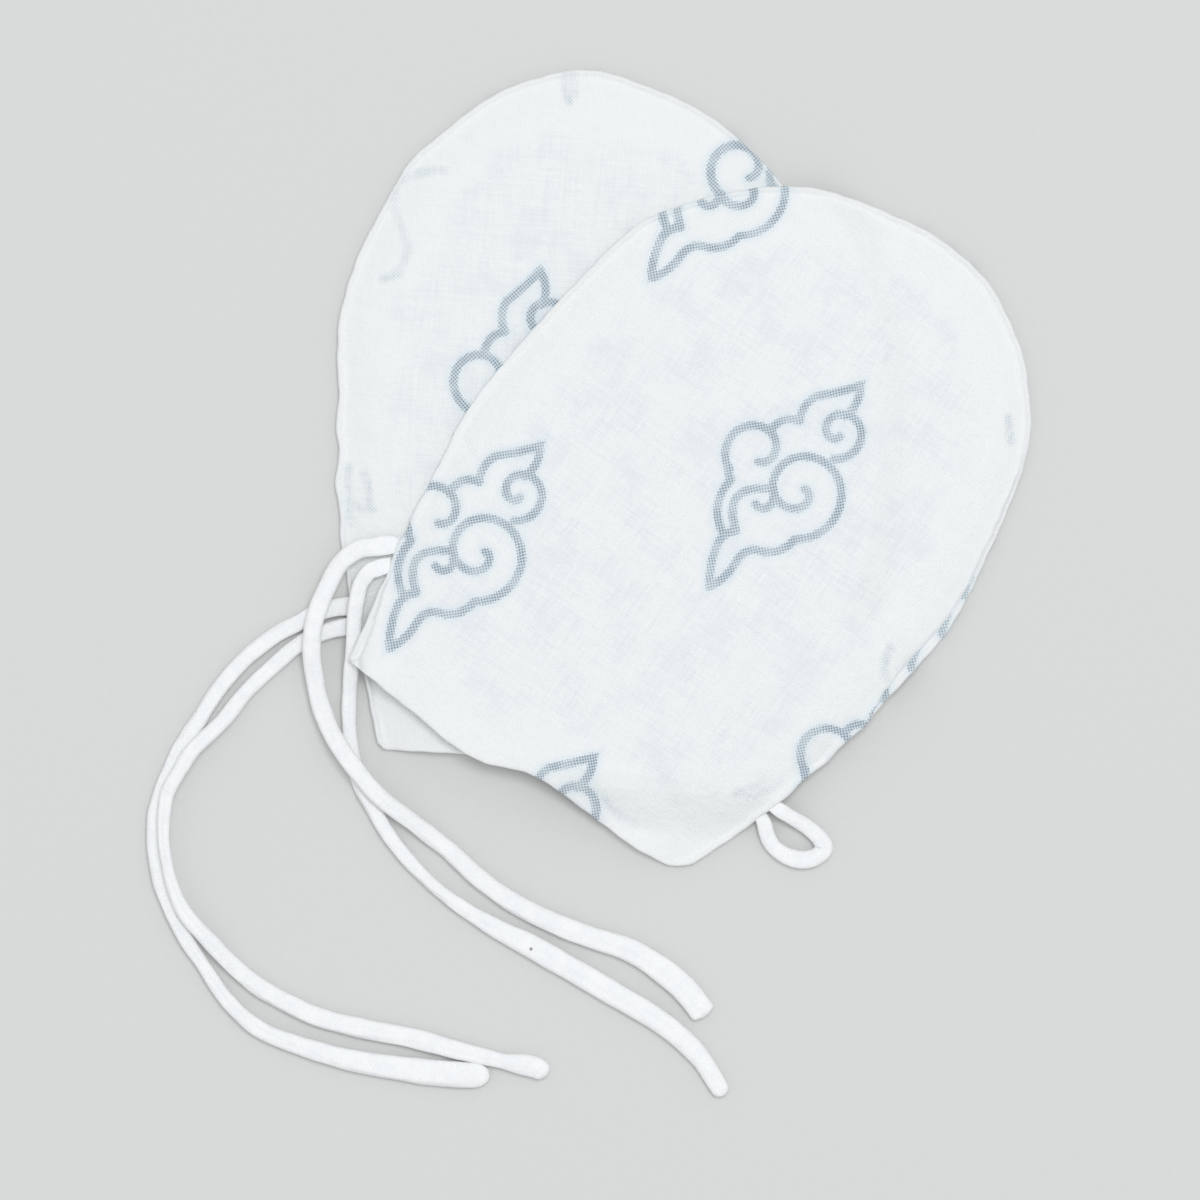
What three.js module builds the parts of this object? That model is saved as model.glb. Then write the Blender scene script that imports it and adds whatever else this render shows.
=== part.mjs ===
// Pair of newborn's scratch mittens in thin white muslin, lying flat, the second mitten turned and laid on the first.
// Each mitten is two panels seamed round, with two cloth ties in one side seam and a cloth loop in the other.
// Units are millimetres: X across the layout, Y up it, Z above the surface that the mittens lie on.

import * as THREE from "three";

// Cloth
const WALL = 1.0; // one panel, with the loft of its cloth
const GAP = 0.3; // between pieces that touch
const LOFT = 1.2; // how far the two panels part in the middle of a mitten
const LOFT_RISE = 12; // width of the seamed margin over which they part
const EDGE_HEIGHT = WALL + GAP + WALL; // a mitten's thickness at its seam

// How the upper mitten comes down off the lower one
const REST_CLEARANCE = 0.5; // between the lower mitten's top and the cloth that lies on it
const DRAPE_START = 3; // the cloth stays up this far past the lower mitten's edge
const DRAPE_LENGTH = 8; // and reaches the surface over this distance
const MOUTH_FADE = 6; // the lower mitten's open mouth loses its loft over this distance

// Ties and loops: turned cloth tubes that have flattened a little
const TIE_WIDTH = 3.0;
const TIE_THICKNESS = 2.4;
const LOOP_WIDTH = 2.7;
const LOOP_THICKNESS = 2.2;
const TUBE_SIDES = 8;
const TIE_STEP = 3.4; // length of one step along a tie
const LOOP_STEP = 1.7;
const LOOP_HEIGHT = 1.3; // of the middle of a loop above what it lies on

// The upper mitten's cuff corner rides over the lower mitten's edge and its own second tie there
const PROPPED = {
  from: { x: -55.8, y: -25.0 },
  to: { x: -56.4, y: -34.0 },
  height: 5.6,
  flat: 4,
  fade: 8,
};

// Mesh fineness: points round the seam and across the cuff, and rings as shares of the way out from the middle
const FINENESS = {
  under: {
    seamSteps: 42,
    cuffSteps: 12,
    rings: [1, 0.97, 0.93, 0.87, 0.79, 0.66, 0.48, 0.26],
  },
  over: {
    seamSteps: 52,
    cuffSteps: 14,
    rings: [1, 0.97, 0.93, 0.87, 0.8, 0.71, 0.61, 0.5, 0.38, 0.25, 0.12],
  },
};

// Each mitten's cut in its own frame: along runs from the cuff to the fingertips, left and right are half widths.
const UNDER_MITTEN = {
  name: "under_mitten",
  fineness: FINENESS.under,
  cuffMiddle: { x: -17.7, y: -50.2 },
  headingDegrees: 86,
  tip: { across: -6.4, along: 117.8 },
  sections: [
    { along: 0, left: 34.2, right: 33.0 },
    { along: 10, left: 36.9, right: 36.0 },
    { along: 20, left: 39.6, right: 38.5 },
    { along: 35, left: 43.0, right: 41.0 },
    { along: 45, left: 44.4, right: 42.5 },
    { along: 60, left: 45.3, right: 43.0 },
    { along: 72, left: 46.2, right: 42.0 },
    { along: 83, left: 43.6, right: 39.0 },
    { along: 92, left: 39.6, right: 34.5 },
    { along: 100, left: 36.2, right: 28.2 },
    { along: 106, left: 30.0, right: 22.0 },
    { along: 112, left: 23.0, right: 13.4 },
    { along: 116, left: 14.8, right: 2.6 },
  ],
  cuffEdge: [
    { across: -17, along: -0.6 },
    { across: 0, along: -0.3 },
    { across: 17, along: -0.4 },
  ],
  loopSeam: { across: 37.8 },
  color: "#eef1f3",
};

const OVER_MITTEN = {
  name: "over_mitten",
  fineness: FINENESS.over,
  cuffMiddle: { x: -27.7, y: -50.2 },
  headingDegrees: 56,
  tip: { across: 9.5, along: 113.9 },
  sections: [
    { along: 0, left: 34.2, right: 32.4 },
    { along: 10, left: 36.0, right: 37.2 },
    { along: 20, left: 38.0, right: 40.5 },
    { along: 35, left: 39.8, right: 44.3 },
    { along: 45, left: 40.9, right: 45.8 },
    { along: 60, left: 39.7, right: 47.8 },
    { along: 75, left: 37.4, right: 46.0 },
    { along: 87, left: 34.6, right: 43.6 },
    { along: 95, left: 29.4, right: 40.7 },
    { along: 101, left: 24.0, right: 36.3 },
    { along: 106, left: 18.2, right: 31.4 },
    { along: 110, left: 10.8, right: 25.2 },
    { along: 112.6, left: 0.6, right: 19.6 },
  ],
  cuffEdge: [
    { across: -24, along: -2.4 },
    { across: -13, along: -3.8 },
    { across: -5, along: -3.0 },
    { across: 3, along: -0.2 },
    { across: 12, along: -0.4 },
    { across: 24, along: -1.0 },
  ],
  loopSeam: { across: 39.4 },
  color: "#eef1f3",
};

// Loop: along the seam, and out from the seam at its foot
const LOOP_ROUTE = [
  { along: 18.1, out: 1.3 },
  { along: 18.2, out: 4.0 },
  { along: 18.3, out: 6.6 },
  { along: 18.1, out: 8.9 },
  { along: 17.3, out: 10.8 },
  { along: 15.9, out: 11.4 },
  { along: 14.4, out: 10.8 },
  { along: 13.2, out: 9.5 },
  { along: 12.4, out: 7.7 },
  { along: 12.2, out: 5.4 },
  { along: 12.7, out: 3.4 },
  { along: 13.6, out: 2.1 },
  { along: 14.9, out: 0.5 },
];
const LOOP_SPAN = { along: 15.2, outFrom: 0, outTo: 8.0, radius: 4.5 }; // the ground that a loop covers

// Ties: x, y and height of the middle of the tube, from the seam to the free end
const TIE_ROUTES = {
  over_mitten_tie_1: [
    [-50.1, -12.8, 5.1],
    [-52.0, -13.2, 5.0],
    [-55.1, -13.9, 4.4],
    [-58.2, -16.2, 4.0],
    [-60.4, -20.1, 4.0],
    [-61.9, -23.7, 4.05],
    [-62.9, -27.6, 4.05],
    [-63.1, -31.5, 3.7],
    [-62.6, -36.0, 2.6],
    [-61.9, -39.4, 2.4],
    [-60.2, -44.0, 3.0],
    [-58.1, -47.8, 3.9],
    [-55.8, -51.0, 4.1],
    [-53.0, -54.4, 4.0],
    [-50.2, -57.0, 3.5],
    [-47.1, -59.3, 2.4],
    [-43.4, -62.2, 1.5],
    [-40.1, -64.8, 1.3],
    [-34.7, -69.7, 1.3],
    [-29.1, -73.8, 1.3],
    [-22.8, -77.0, 1.3],
    [-16.0, -79.7, 1.3],
    [-9.0, -82.1, 1.3],
    [-4.1, -85.0, 1.3],
    [0.0, -88.4, 1.3],
    [2.9, -92.0, 1.3],
  ],
  over_mitten_tie_2: [
    [-51.7, -17.0, 5.0],
    [-53.2, -17.6, 4.9],
    [-54.7, -19.6, 4.4],
    [-55.4, -22.6, 4.05],
    [-55.8, -25.7, 4.0],
    [-55.9, -28.6, 4.0],
    [-56.1, -31.5, 3.8],
    [-56.5, -34.5, 2.7],
    [-56.7, -37.7, 1.5],
    [-56.8, -41.1, 1.3],
    [-56.7, -44.5, 1.3],
    [-56.3, -48.3, 1.3],
    [-55.6, -51.7, 1.3],
    [-54.6, -54.7, 1.3],
    [-52.7, -57.8, 1.3],
    [-50.7, -61.4, 1.3],
    [-47.1, -66.3, 1.3],
    [-42.3, -71.1, 1.3],
    [-36.7, -75.3, 1.3],
    [-31.1, -78.7, 1.3],
    [-25.7, -81.4, 1.3],
    [-19.4, -85.0, 1.3],
    [-12.4, -89.1, 1.3],
    [-6.1, -92.7, 1.3],
    [-1.4, -96.1, 1.3],
    [2.9, -100.3, 1.3],
    [5.6, -104.4, 1.3],
    [7.0, -106.8, 1.3],
  ],
  under_mitten_tie_1: [
    [-57.0, -23.5, 1.3],
    [-59.3, -23.8, 1.3],
    [-62.4, -24.7, 1.3],
    [-65.6, -26.4, 1.3],
    [-69.0, -28.2, 1.3],
    [-74.8, -32.8, 1.3],
    [-79.1, -37.7, 1.3],
    [-82.3, -42.8, 1.3],
    [-85.7, -48.1, 1.3],
    [-87.3, -51.5, 1.3],
    [-88.8, -55.1, 1.3],
    [-89.7, -58.5, 1.3],
    [-89.9, -62.1, 1.3],
    [-89.8, -64.9, 1.3],
    [-89.0, -70.2, 1.3],
    [-87.0, -75.5, 1.3],
    [-84.3, -80.6, 1.3],
    [-81.9, -84.2, 1.3],
    [-77.7, -90.4, 1.3],
    [-72.1, -95.4, 1.3],
    [-65.8, -98.1, 1.3],
    [-56.8, -100.6, 1.3],
    [-47.1, -102.3, 1.3],
    [-40.3, -103.0, 1.3],
    [-32.8, -103.4, 1.3],
  ],
  under_mitten_tie_2: [
    [-56.5, -26.9, 1.3],
    [-59.3, -27.4, 1.3],
    [-62.4, -28.5, 1.3],
    [-65.6, -30.3, 1.3],
    [-68.5, -32.6, 1.3],
    [-74.0, -37.7, 1.5],
    [-78.2, -43.0, 2.6],
    [-83.5, -48.1, 3.7],
    [-85.6, -51.5, 3.9],
    [-87.5, -55.1, 3.9],
    [-88.1, -58.5, 3.9],
    [-88.3, -62.1, 3.9],
    [-88.1, -64.9, 3.9],
    [-87.0, -70.2, 3.8],
    [-84.7, -75.5, 3.6],
    [-80.4, -80.6, 2.7],
    [-77.0, -84.2, 1.6],
    [-71.9, -88.4, 1.3],
    [-66.8, -91.3, 1.3],
    [-62.4, -93.3, 1.3],
    [-54.1, -95.4, 1.3],
    [-45.7, -97.1, 1.3],
    [-38.1, -99.1, 1.3],
    [-30.4, -101.0, 1.3],
    [-23.6, -102.3, 1.3],
  ],
};

const smooth = THREE.MathUtils.smoothstep;

function distanceToSegment(p, a, b) {
  const span = new THREE.Line3(new THREE.Vector3(a.x, a.y, 0), new THREE.Vector3(b.x, b.y, 0));
  const point = new THREE.Vector3(p.x, p.y, 0);
  return span.closestPointToPoint(point, true, new THREE.Vector3()).distanceTo(point);
}

// Distance from a line of points, ends included.
function distanceToLine(p, line) {
  return Math.min(...line.slice(1).map((b, i) => distanceToSegment(p, line[i], b)));
}

// Depth inside a closed outline, negative outside it.
function depthInside(p, outline) {
  let inside = false;
  outline.forEach((a, i) => {
    const b = outline[(i + 1) % outline.length];
    const spans = a.y > p.y !== b.y > p.y;
    if (spans && p.x < a.x + ((p.y - a.y) / (b.y - a.y)) * (b.x - a.x)) inside = !inside;
  });
  const depth = distanceToLine(p, [...outline, outline[0]]);
  return inside ? depth : -depth;
}

// The seam from the cuff's right corner over the fingertips to its left corner, and the cuff edge between them.
function cutOf(mitten) {
  const right = mitten.sections.map((row) => new THREE.Vector2(row.right, row.along));
  const left = mitten.sections.map((row) => new THREE.Vector2(-row.left, row.along)).reverse();
  const tip = new THREE.Vector2(mitten.tip.across, mitten.tip.along);
  const seam = new THREE.SplineCurve([...right, tip, ...left]).getSpacedPoints(mitten.fineness.seamSteps);
  const edge = mitten.cuffEdge.map((row) => new THREE.Vector2(row.across, row.along));
  const cuff = new THREE.SplineCurve([left.at(-1), ...edge, right[0]]);
  const cuffPoints = cuff.getSpacedPoints(mitten.fineness.cuffSteps).slice(1, -1);
  return { seam, outline: [...seam, ...cuffPoints] };
}

// A group at the cuff's middle whose own Y runs along the mitten.
function placeMitten(mitten) {
  const group = new THREE.Group();
  group.position.set(mitten.cuffMiddle.x, mitten.cuffMiddle.y, 0);
  group.rotation.z = THREE.MathUtils.degToRad(mitten.headingDegrees - 90);
  group.updateMatrixWorld(true);
  return group;
}

const inLayout = (group, p) => group.localToWorld(new THREE.Vector3(p.x, p.y, 0));
const inMitten = (group, p) => group.worldToLocal(new THREE.Vector3(p.x, p.y, 0));

const underGroup = placeMitten(UNDER_MITTEN);
const overGroup = placeMitten(OVER_MITTEN);
const underCut = cutOf(UNDER_MITTEN);
const overCut = cutOf(OVER_MITTEN);

// How far the panels stand apart at a point of a mitten's own frame.
function loftAt(p, cut) {
  return LOFT * smooth(distanceToLine(p, cut.seam), 0, LOFT_RISE);
}

// Height on which the upper mitten's cloth lies at a point of the layout.
function restHeight(p) {
  const local = inMitten(underGroup, p);
  const inCloth = depthInside(local, underCut.outline);
  const foot = UNDER_MITTEN.loopSeam.across;
  const span = [
    { x: foot + LOOP_SPAN.outFrom, y: LOOP_SPAN.along },
    { x: foot + LOOP_SPAN.outTo, y: LOOP_SPAN.along },
  ];
  const overLoop = LOOP_SPAN.radius - distanceToLine(local, span);
  const held = smooth(Math.max(inCloth, overLoop), -DRAPE_START - DRAPE_LENGTH, -DRAPE_START);
  const mouth = smooth(inCloth, -MOUTH_FADE, 0);
  const top = (EDGE_HEIGHT + REST_CLEARANCE + loftAt(local, underCut) * mouth) * held;
  const fromProp = distanceToSegment(p, PROPPED.from, PROPPED.to);
  const propped = 1 - smooth(fromProp, PROPPED.flat, PROPPED.flat + PROPPED.fade);
  return THREE.MathUtils.lerp(top, Math.max(top, PROPPED.height), propped);
}

// A closed wall between two height functions, on rings drawn in from the outline to its middle.
function wallGeometry(outline, rings, bottomAt, topAt) {
  const middle = new THREE.Box2().setFromPoints(outline).getCenter(new THREE.Vector2());
  const plan = rings.flatMap((share) => outline.map((p) => p.clone().lerp(middle, 1 - share)));
  plan.push(middle);
  const around = outline.length;
  const layer = plan.length;
  const positions = [topAt, bottomAt].flatMap((heightAt) => plan.flatMap((p) => [p.x, p.y, heightAt(p)]));
  const faces = [];
  for (let i = 0; i < around; i++) {
    const next = (i + 1) % around;
    rings.slice(1).forEach((_, ring) => {
      const outer = ring * around;
      const inner = outer + around;
      faces.push(outer + i, outer + next, inner + next, outer + i, inner + next, inner + i);
    });
    const last = (rings.length - 1) * around;
    faces.push(last + i, last + next, layer - 1);
  }
  const under = [];
  for (let f = 0; f < faces.length; f += 3) under.push(faces[f] + layer, faces[f + 2] + layer, faces[f + 1] + layer);
  const edge = [];
  for (let i = 0; i < around; i++) {
    const next = (i + 1) % around;
    edge.push(layer + i, layer + next, next, layer + i, next, i);
  }
  const geometry = new THREE.BufferGeometry();
  geometry.setAttribute("position", new THREE.Float32BufferAttribute(positions, 3));
  geometry.setIndex([...faces, ...under, ...edge]);
  geometry.computeVertexNormals();
  return geometry;
}

// A closed tube of a flattened round section along a smooth path.
function tubeGeometry(points, width, thickness, step) {
  const path = new THREE.CatmullRomCurve3(points, false, "centripetal");
  const corners = Array.from({ length: TUBE_SIDES }, (_, i) => {
    const angle = ((i + 0.5) / TUBE_SIDES) * 2 * Math.PI;
    return new THREE.Vector2((thickness / 2) * Math.cos(angle), (width / 2) * Math.sin(angle));
  });
  const steps = Math.round(path.getLength() / step);
  return new THREE.ExtrudeGeometry(new THREE.Shape(corners), { steps, extrudePath: path });
}

function clothMesh(name, geometry, color) {
  const material = new THREE.MeshStandardMaterial({ color, roughness: 0.95, metalness: 0, side: THREE.DoubleSide });
  const mesh = new THREE.Mesh(geometry, material);
  mesh.name = name;
  return mesh;
}

// The two panels of a mitten that lies on a surface of the given height.
function addPanels(mitten, group, cut, surfaceAt) {
  const lowAt = (p) => surfaceAt(inLayout(group, p));
  const loft = (p) => loftAt(p, cut);
  const panels = {
    lower_panel: [lowAt, (p) => lowAt(p) + WALL],
    upper_panel: [(p) => lowAt(p) + WALL + GAP + loft(p), (p) => lowAt(p) + EDGE_HEIGHT + loft(p)],
  };
  for (const [piece, [bottomAt, topAt]] of Object.entries(panels)) {
    const geometry = wallGeometry(cut.outline, mitten.fineness.rings, bottomAt, topAt);
    group.add(clothMesh(`${mitten.name}_${piece}`, geometry, mitten.color));
  }
}

// The loop in a mitten's right seam: it leaves the seam at half its height and lies on the surface.
function addLoop(mitten, group, surfaceAt) {
  const points = LOOP_ROUTE.map(({ along, out }) => {
    const across = mitten.loopSeam.across + out;
    const height = surfaceAt(inLayout(group, { x: across, y: along }));
    return new THREE.Vector3(across, along, height + LOOP_HEIGHT);
  });
  const geometry = tubeGeometry(points, LOOP_WIDTH, LOOP_THICKNESS, LOOP_STEP);
  group.add(clothMesh(`${mitten.name}_loop`, geometry, mitten.color));
}

const pair = new THREE.Group();
pair.name = "baby_mittens";
pair.add(underGroup, overGroup);
const onTable = () => 0;
addPanels(UNDER_MITTEN, underGroup, underCut, onTable);
addPanels(OVER_MITTEN, overGroup, overCut, restHeight);
addLoop(UNDER_MITTEN, underGroup, onTable);
addLoop(OVER_MITTEN, overGroup, restHeight);
for (const [name, route] of Object.entries(TIE_ROUTES)) {
  const points = route.map(([x, y, z]) => new THREE.Vector3(x, y, z));
  pair.add(clothMesh(name, tubeGeometry(points, TIE_WIDTH, TIE_THICKNESS, TIE_STEP), UNDER_MITTEN.color));
}

export default pair;
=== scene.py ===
"""Looks of a newborn's scratch mittens: thin white muslin with a cloud-scroll print, one lying flat on the other.

The tables hold millimetres, but for the routes of the ties, which are metres in the row frame.
A mitten's own frame has its origin at the middle of the cuff: across runs to the right and along to the fingertips.
"""

import math
from functools import partial

import bmesh
import bpy
import numpy as np
from bpy.props import FloatProperty, FloatVectorProperty, PointerProperty
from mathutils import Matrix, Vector
from mathutils.geometry import delaunay_2d_cdt
from mathutils.kdtree import KDTree


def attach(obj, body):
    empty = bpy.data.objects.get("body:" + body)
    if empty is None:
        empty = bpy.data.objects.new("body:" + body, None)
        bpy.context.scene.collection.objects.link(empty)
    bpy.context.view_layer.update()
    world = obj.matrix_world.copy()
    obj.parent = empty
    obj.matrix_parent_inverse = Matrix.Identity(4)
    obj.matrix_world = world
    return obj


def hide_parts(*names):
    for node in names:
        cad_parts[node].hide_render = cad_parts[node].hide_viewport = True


bl_info = {
    "name": "Baby mittens",
    "version": (1, 0, 0),
    "blender": (4, 5, 0),
    "location": "3D View > Sidebar > Mittens",
    "description": "Builds a pair of printed muslin scratch mittens with cloth ties on their packed solids",
    "category": "Object",
}

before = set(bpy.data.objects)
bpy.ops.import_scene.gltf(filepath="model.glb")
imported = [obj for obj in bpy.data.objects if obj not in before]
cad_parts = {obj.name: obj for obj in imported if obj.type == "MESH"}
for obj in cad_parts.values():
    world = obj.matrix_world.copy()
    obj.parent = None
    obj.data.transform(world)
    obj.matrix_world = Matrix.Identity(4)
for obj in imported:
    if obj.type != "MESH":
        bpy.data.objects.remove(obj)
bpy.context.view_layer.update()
MM = 0.001


def table(columns, *rows):
    """Rows of a table as dicts, under the columns' names."""
    return [dict(zip(columns.split(), row)) for row in rows]


def linear(code):
    """A colour written as sRGB hex, in Blender's linear values."""
    parts = [int(code[i : i + 2], 16) / 255 for i in (1, 3, 5)]
    return tuple(c / 12.92 if c <= 0.04045 else ((c + 0.055) / 1.055) ** 2.4 for c in parts)


# Cloth, as the solids have it
WALL = 1.0  # one panel's wall
GAP = 0.3  # between pieces that touch
LOFT = 1.2  # how far the two panels part in the middle of a mitten
LOFT_RISE = 12.0  # width of the margin over which they part
EDGE_HEIGHT = WALL + GAP + WALL
REST_CLEARANCE = 0.5  # between the lower mitten's top and the cloth that lies on it
DRAPE_START = 3.0  # the cloth stays up this far past the lower mitten's edge
DRAPE_LENGTH = 8.0  # and reaches the surface over this distance
MOUTH_FADE = 6.0  # the lower mitten's mouth loses its loft over this distance
PROP_FROM = (-55.8, -25.0)  # the upper mitten's cuff corner rides over its own second tie here
PROP_TO = (-56.4, -34.0)
PROP_HEIGHT = 5.1
PROP_FLAT = 2.8
PROP_FADE = 7.0
LOOP_SPAN_ALONG = 15.2  # the ground that a loop covers
LOOP_SPAN_OUT = 8.0
LOOP_SPAN_RADIUS = 4.5

# Finer form of the cloth, which the solids leave out
SEAM_ROLL = 1.45  # the cloth rolls down to the seam over this distance
HEM_ROLL = 0.55  # radius of the folded hem's edge
ALLOWANCE = 9.5  # width of the turned-in seam allowance and hem
ALLOWANCE_FADE = 1.6
TWO_LAYERS = 0.9  # thickness where the allowance lies inside
ONE_LAYER = 0.5
SEWN_GAP = 0.1  # what shows between the two panels where they are sewn
STEP_HEIGHT = 0.12  # the allowance lifts the panel by this much
EDGE_INSETS = (0.0, 0.1, 0.25, 0.45, 0.7, 0.95, 1.2, 1.45, 1.7, 1.95, 2.2)  # rings of points that follow the edge

# The two mittens. Sections are half widths, and waves, creases and marks lie at places of a mitten's own frame.
# Corners: how far the cuff's corners are rounded. Waves: unevenness of the cut, each round one place of the seam.
# Seam shows: the lower panel rolls up past the seam, which lies this far in from the outline. Creases: soft
# ridges, or troughs below nought. Print shifts: places round which the repeat is drawn aside, because the cloth
# isn't quite square. Strip marks: print on the strip of the lower panel that rolls up. Behind marks: print on the
# turned-in allowance, seen faintly through the cloth.
UNDER_MITTEN = {
    "name": "under_mitten",
    "middle": (-17.7, -50.2),
    "heading": math.radians(86),
    "tip": (-6.4, 117.8),
    "sections": table(
        "along left right",
        (0, 34.2, 33.0), (10, 36.9, 36.0), (20, 39.6, 38.5), (35, 43.0, 41.0), (45, 44.4, 42.5), (60, 45.3, 43.0),
        (72, 46.0, 42.0), (83, 43.7, 39.0), (92, 39.9, 34.5), (100, 35.9, 28.2), (106, 30.0, 22.0),
        (112, 23.0, 13.4), (116, 14.8, 2.6),
    ),
    "cuff": table(
        "across along",
        (-28.8, 0.0), (-21.9, 0.2), (-10, 0.0), (3, -0.3), (17, -0.4),
    ),
    "loop_across": 37.8,
    "print_origin": (-13.3, 61.9),
    "back_print_origin": (16.0, 88.0),
    "corners": table("side reach", ("left", 0.6), ("right", 1.2)),
    "waves": table("side along reach length height", ("left", 48, 26, 10.5, 0.32), ("left", 75, 14, 7.0, 0.08)),
    "seam_shows": (),
    "creases": table(
        "across1 along1 across2 along2 width height",
        (-44.0, 36.0, -33.0, 33.0, 1.7, -0.28), (-44.0, 41.0, -35.0, 44.0, 1.5, 0.18),
        (-45.0, 54.0, -36.0, 50.0, 1.8, -0.20), (-31.0, 109.0, -25.0, 101.0, 1.6, -0.30),
        (-12.0, 117.0, -10.0, 106.0, 1.5, -0.16), (-30.0, 62.0, -24.0, 96.0, 6.0, -0.26),
        (-34.0, 3.0, -26.0, 8.0, 1.8, -0.28), (-10.0, 100.0, 16.0, 94.0, 6.0, 0.20),
        (30.0, 20.0, 18.0, 34.0, 2.5, -0.24), (41.0, 60.0, 30.0, 66.0, 2.2, -0.20),
    ),
    "print_shifts": table("across along reach by_across by_along", (22, 102, 18, 2.2, -0.1)),
    "strip_marks": (),
    "behind_marks": table(
        "across1 along1 across2 along2 bulge",
        (-29.9, 98.9, -36.4, 97.4, 0.3), (-36.4, 97.4, -38.1, 92.1, 0.5), (-38.1, 92.1, -35.0, 85.8, 0.1),
        (-35.0, 85.8, -38.9, 79.8, -1.2), (-36.2, 81.0, -37.6, 80.6, 0.0), (-10.6, 117.0, -9.5, 112.2, 0.1),
        (-9.3, 117.2, -8.7, 113.4, 0.1), (-42.6, 47.6, -41.6, 38.2, 0.4), (-39.8, 46.6, -38.8, 41.0, -0.3),
        (-42.8, 41.6, -38.0, 40.4, 0.2),
    ),
}

OVER_MITTEN = {
    "name": "over_mitten",
    "middle": (-27.7, -50.2),
    "heading": math.radians(56),
    "tip": (9.5, 113.9),
    "sections": table(
        "along left right",
        (0, 34.2, 33.1), (10, 36.0, 37.2), (20, 38.0, 40.5), (35, 39.8, 44.3), (45, 40.9, 45.8), (60, 39.7, 47.8),
        (75, 37.4, 46.0), (87, 34.6, 43.6), (95, 29.4, 40.7), (101, 24.0, 36.3), (106, 18.2, 31.4),
        (110, 10.8, 25.2), (112.6, 0.6, 19.6),
    ),
    "cuff": table(
        "across along",
        (-33.9, -1.6), (-31.3, -2.0), (-28.2, -2.2), (-24.5, -2.6), (-18, -3.1), (-11.3, -3.8), (-5, -3.2),
        (3, -0.4), (12, -0.4), (24, -1.0),
    ),
    "loop_across": 39.4,
    "print_origin": (10.9, 64.4),
    "back_print_origin": (50.0, 60.0),
    "corners": table("side reach", ("left", 0.7), ("right", 1.6)),
    "waves": table("side along reach length height", ("left", 22, 20, 8.0, 0.22), ("right", 30, 24, 9.0, 0.18)),
    "seam_shows": table(
        "side along inset",
        ("right", 40, 0.0), ("right", 45, 1.3), ("right", 51, 1.9), ("right", 60, 1.5), ("right", 68, 0.95),
        ("right", 82, 0.8), ("right", 92, 0.45), ("right", 98, 0.0), ("left", -3, 1.8), ("left", 1, 1.7),
        ("left", 5, 1.4), ("left", 9, 1.0), ("left", 13, 0.6), ("left", 18, 0.0),
    ),
    "creases": table(
        "across1 along1 across2 along2 width height",
        (-32.5, -0.1, -30.9, -2.4, 0.5, -0.24), (-30.5, 1.2, -28.4, -1.9, 0.75, -0.18),
        (-31.0, 2.0, -29.5, 12.0, 0.9, 0.16), (-38.6, 20.0, -40.7, 42.0, 1.15, -0.95),
        (-41.0, 40.0, -39.9, 64.0, 1.1, -0.90), (-39.4, 40.2, -36.2, 38.8, 0.9, -0.42),
        (-37.0, 42.0, -24.0, 39.0, 2.2, -0.32), (-38.0, 47.0, -27.0, 51.0, 2.0, 0.18),
        (-32.0, 82.0, -22.0, 97.0, 3.4, -0.42), (-27.0, 86.0, -17.0, 99.0, 3.0, 0.20),
        (-16.0, 1.5, -2.0, 2.5, 2.2, -0.45), (4.0, 6.5, 22.0, 5.0, 2.4, 0.30), (10.0, 2.2, 30.0, 3.2, 1.8, -0.45),
        (22.0, 10.0, 34.0, 4.0, 2.2, -0.35), (-6.0, 30.0, 18.0, 22.0, 5.5, -0.28),
        (-12.0, 18.0, 12.0, 38.0, 6.0, 0.20), (18.0, 92.0, 38.0, 78.0, 5.0, -0.24),
        (30.0, 55.0, 43.0, 62.0, 2.6, -0.22), (26.0, 34.0, 42.0, 36.0, 2.8, 0.18),
        (-8.0, 60.0, -4.0, 88.0, 7.0, -0.18),
    ),
    "print_shifts": table(
        "across along reach by_across by_along",
        (-26, 98, 26, 2.9, -1.4), (-27, 26, 22, 0.2, -0.3), (9, 4, 16, -2.2, -0.2), (46, 26, 20, 0.3, 3.9),
    ),
    "strip_marks": table(
        "across1 along1 across2 along2 bulge",
        (45.6, 69.0, 46.6, 65.8, 0.1), (46.2, 61.4, 47.2, 58.4, 0.1), (45.0, 54.4, 46.0, 50.6, 0.2),
        (43.0, 46.8, 45.2, 43.6, -0.2),
    ),
    "behind_marks": table(
        "across1 along1 across2 along2 bulge",
        (41.2, 51.6, 43.4, 46.6, 0.6), (33.2, 16.4, 35.8, 20.8, 0.4), (35.2, 17.0, 38.4, 22.2, 0.3),
        (36.0, 95.2, 38.6, 92.0, 0.0), (15.4, 3.0, 21.8, 2.4, 0.5),
    ),
}

FINE_WAVE_LENGTH = 4.3
FINE_WAVE_HEIGHT = 0.04
SEAM_GROOVE_DEPTH = 0.75  # where the lower panel rolls up past the seam
SEAM_GROOVE_WIDTH = 0.22
SHARP_WIDTH = 0.7  # troughs narrower than this get painted shade inside
FOLD_SHARE = 0.42  # of the hem's thickness that its edge turns away
LEAST_WALL = 0.08
SEAM_LIP = 0.1  # of a panel past the line where it is sewn
SWELL = {"height": 0.05, "across": 5.1, "along": 6.7}  # the cloth's slight unevenness, in two waves
RIPPLE = {"height": 0.035, "across": 2.3, "along": 3.1}

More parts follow.
